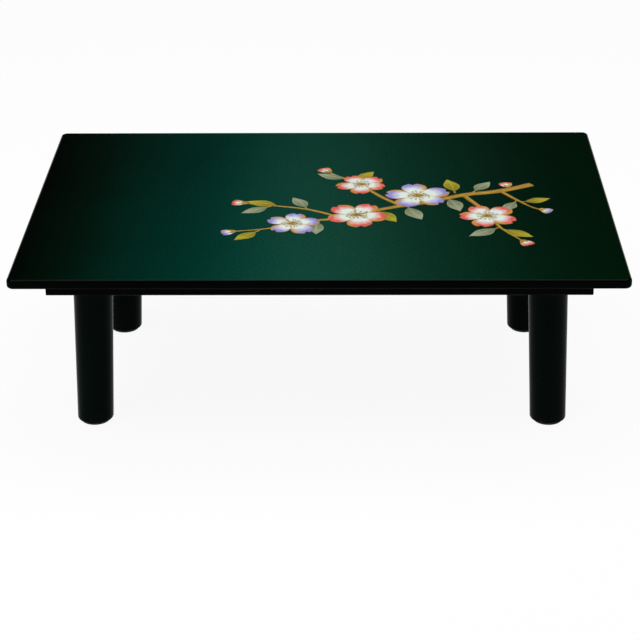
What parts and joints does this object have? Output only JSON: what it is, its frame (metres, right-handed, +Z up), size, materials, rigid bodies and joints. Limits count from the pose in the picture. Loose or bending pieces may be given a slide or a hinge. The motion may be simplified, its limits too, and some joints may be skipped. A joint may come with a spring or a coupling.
{
  "type": "folding sutra table",
  "caption": "Low lacquered reading table with a thin rounded board, a shallow rail frame and round legs that fold inward on riveted hinges with leaf-spring locks.",
  "frame": {"origin": "on the floor under the middle of the board", "axes": "+X along the table's length, +Y toward its back, +Z up"},
  "size_m": [0.6, 0.42, 0.2],
  "materials": {
    "lacquered_top": "satin-gloss lacquer, deep green fading to black at the rim",
    "lacquered_frame": "satin black lacquer",
    "lacquered_legs": "satin-gloss black lacquer",
    "bracket_paint": "satin black baked paint",
    "rivet_steel": "blackened steel",
    "spring_steel": "blued spring steel",
    "screw_steel": "black zinc",
    "felt": "pressed felt"
  },
  "bodies": {
    "table_body": {"top_board": "lacquered_top", "front_rail": "lacquered_frame", "rear_rail": "lacquered_frame", "left_rail": "lacquered_frame", "right_rail": "lacquered_frame", "hinge_screws": "screw_steel", "spring_screws": "screw_steel", "rail_screws": "screw_steel", "front_left_hinge_bracket": "bracket_paint", "front_left_hinge_pin": "rivet_steel", "front_left_lock_spring": "spring_steel", "front_right_hinge_bracket": "bracket_paint", "front_right_hinge_pin": "rivet_steel", "front_right_lock_spring": "spring_steel", "rear_left_hinge_bracket": "bracket_paint", "rear_left_hinge_pin": "rivet_steel", "rear_left_lock_spring": "spring_steel", "rear_right_hinge_bracket": "bracket_paint", "rear_right_hinge_pin": "rivet_steel", "rear_right_lock_spring": "spring_steel"},
    "front_left_leg_body": {"front_left_leg": "lacquered_legs", "front_left_foot_pad": "felt"},
    "front_right_leg_body": {"front_right_leg": "lacquered_legs", "front_right_foot_pad": "felt"},
    "rear_left_leg_body": {"rear_left_leg": "lacquered_legs", "rear_left_foot_pad": "felt"},
    "rear_right_leg_body": {"rear_right_leg": "lacquered_legs", "rear_right_foot_pad": "felt"}
  },
  "joints": [
    {"name": "front_left_fold", "type": "hinge", "parent": "table_body", "child": "front_left_leg_body", "pos_m": [-0.229, -0.112, 0.166], "axis": [0, -1, 0], "range_deg": [0, 92], "deforming": ["front_left_lock_spring"]},
    {"name": "front_right_fold", "type": "hinge", "parent": "table_body", "child": "front_right_leg_body", "pos_m": [0.229, -0.112, 0.166], "axis": [0, 1, 0], "range_deg": [0, 92], "deforming": ["front_right_lock_spring"]},
    {"name": "rear_left_fold", "type": "hinge", "parent": "table_body", "child": "rear_left_leg_body", "pos_m": [-0.221, 0.112, 0.166], "axis": [0, -1, 0], "range_deg": [0, 92], "deforming": ["rear_left_lock_spring"]},
    {"name": "rear_right_fold", "type": "hinge", "parent": "table_body", "child": "rear_right_leg_body", "pos_m": [0.221, 0.112, 0.166], "axis": [0, 1, 0], "range_deg": [0, 92], "deforming": ["rear_right_lock_spring"]}
  ]
}
